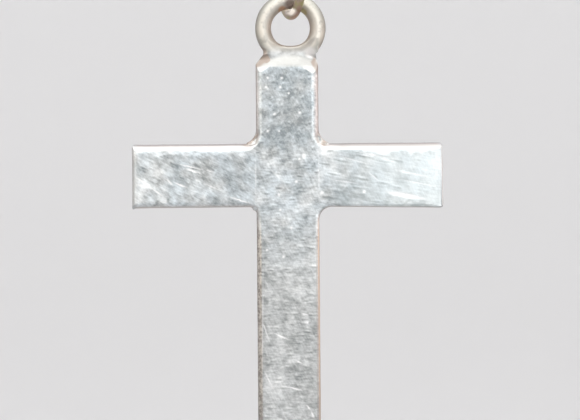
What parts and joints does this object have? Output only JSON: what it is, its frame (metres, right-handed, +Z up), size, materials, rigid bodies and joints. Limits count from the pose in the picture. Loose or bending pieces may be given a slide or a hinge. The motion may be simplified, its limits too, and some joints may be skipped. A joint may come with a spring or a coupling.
{
  "type": "cross pendant",
  "caption": "Plain flat Latin cross of satin silver with softened edges and a soldered round eye, hanging from a thinner tarnished jump ring.",
  "frame": {"origin": "inside of the jump ring's top, where a chain bears", "axes": "+Z up along the upright, +X towards the cross's right arm as it is seen from the front, the front face towards -Y"},
  "size_m": [0.0201, 0.0048, 0.0372],
  "materials": {
    "silver": "hand-rubbed silver with fine scratches",
    "tarnished_silver": "silver wire with a warm grey-brown tarnish"
  },
  "bodies": {
    "jump_ring": {"jump_ring": "tarnished_silver"},
    "cross": {"cross": "silver"}
  },
  "joints": [
    {"name": "cross_swing", "type": "hinge", "parent": "jump_ring", "child": "cross", "pos_m": [0, 0, -0.0041], "axis": [0, 1, 0], "range_deg": [-60, 60]}
  ]
}
